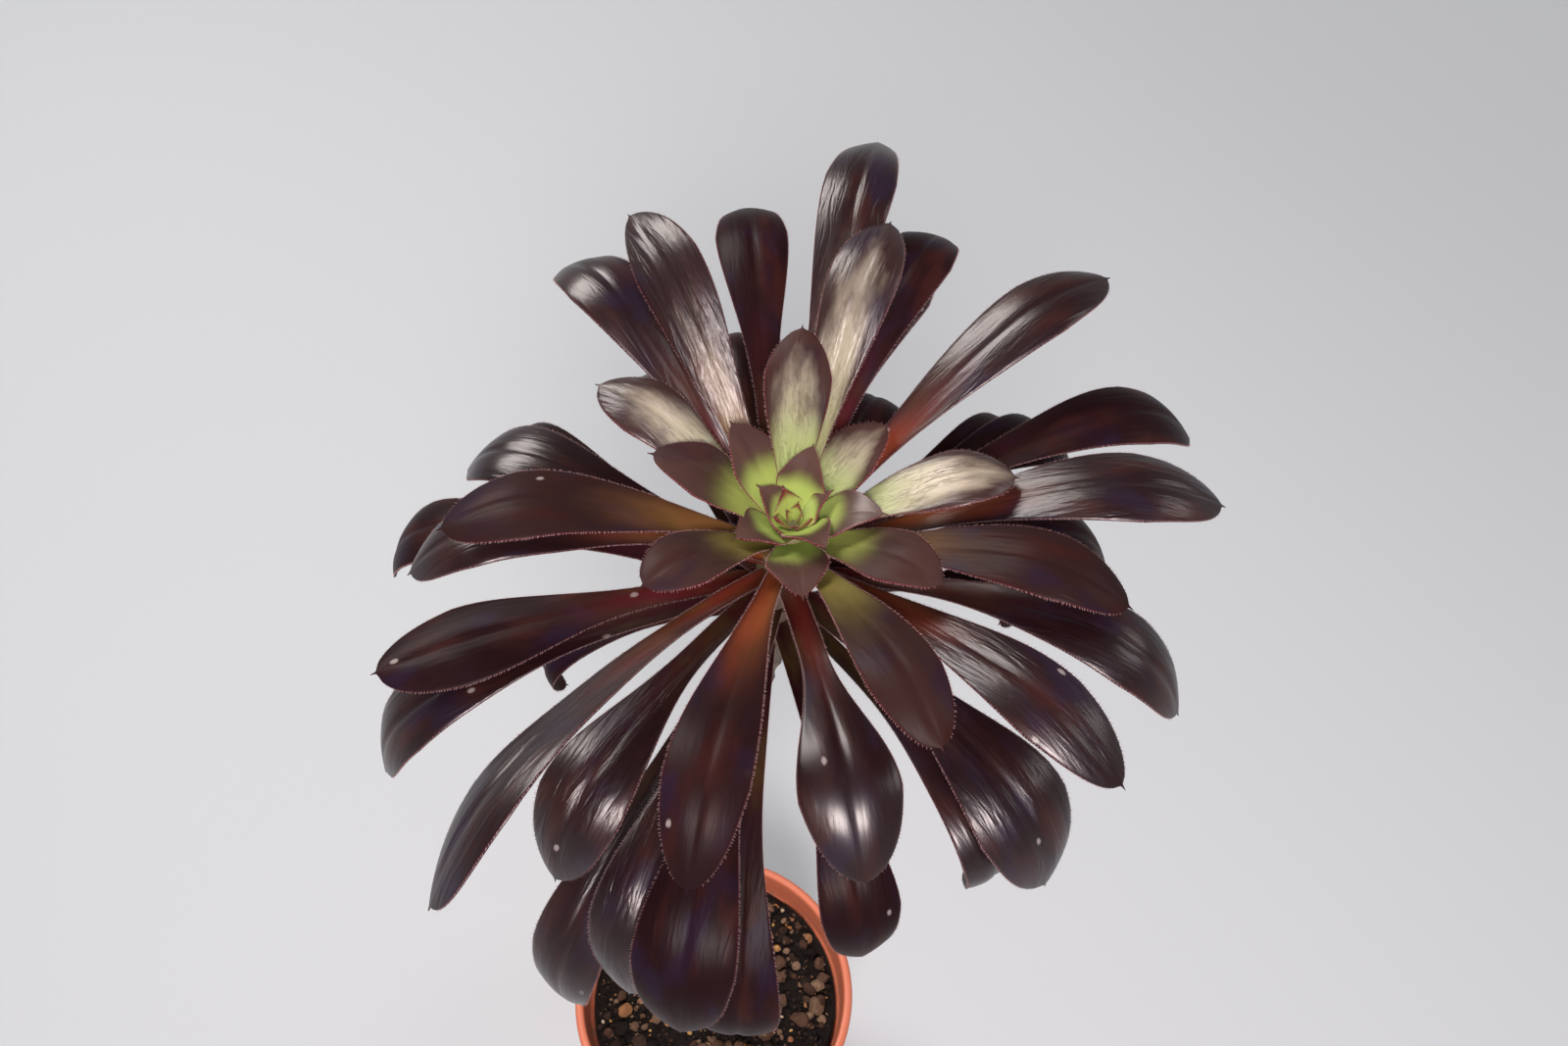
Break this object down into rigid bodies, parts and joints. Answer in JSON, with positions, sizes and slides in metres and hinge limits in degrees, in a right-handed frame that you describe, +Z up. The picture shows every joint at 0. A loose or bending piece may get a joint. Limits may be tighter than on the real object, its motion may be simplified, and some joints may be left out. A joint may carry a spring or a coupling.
{
  "type": "potted aeonium",
  "caption": "Dark-leaved aeonium with one large open rosette on a bare leaning stem, growing in gritty soil in a round tapered plastic pot.",
  "frame": {"origin": "centre of the pot's underside, on the surface that it stands on", "axes": "+Z up along the pot's axis; -Y towards the side that the plant is mostly seen from; +X to that viewer's right"},
  "size_m": [0.2148, 0.2187, 0.4637],
  "materials": {
    "pot": "terracotta-coloured plastic, satin",
    "soil": "dark gritty potting mix, rough",
    "stem": "grey-brown bark with leaf scars",
    "heart": "fresh green leaf, satin",
    "young_leaf": "green leaf flushed maroon, satin",
    "leaf": "near-black purple leaf, satin to glossy"
  },
  "bodies": {
    "root": {"pot": "pot", "soil": "soil", "stem": "stem", "rosette_heart": "heart", "leaf_13": "young_leaf", "leaf_14": "young_leaf", "leaf_15": "young_leaf", "leaf_16": "young_leaf", "leaf_17": "young_leaf", "leaf_18": "young_leaf", "leaf_19": "young_leaf", "leaf_20": "leaf", "leaf_21": "leaf", "leaf_22": "leaf", "leaf_23": "leaf", "leaf_24": "leaf", "leaf_25": "leaf", "leaf_26": "leaf", "leaf_27": "leaf", "leaf_28": "leaf", "leaf_29": "leaf", "leaf_30": "leaf", "leaf_31": "leaf", "leaf_32": "leaf", "leaf_33": "leaf", "leaf_34": "leaf", "leaf_35": "leaf", "leaf_36": "leaf", "leaf_37": "leaf", "leaf_38": "leaf", "leaf_39": "leaf", "leaf_40": "leaf", "leaf_41": "leaf", "leaf_42": "leaf", "leaf_43": "leaf", "leaf_44": "leaf", "leaf_45": "leaf", "leaf_46": "leaf", "leaf_47": "leaf", "leaf_48": "leaf", "leaf_49": "leaf", "leaf_50": "leaf", "leaf_51": "leaf", "leaf_52": "leaf", "leaf_53": "leaf", "leaf_54": "leaf", "leaf_55": "leaf", "leaf_56": "leaf", "leaf_57": "leaf", "leaf_58": "leaf", "leaf_59": "leaf", "leaf_60": "leaf", "leaf_61": "leaf", "leaf_62": "leaf", "leaf_63": "leaf", "leaf_71": "leaf"}
  },
  "joints": []
}
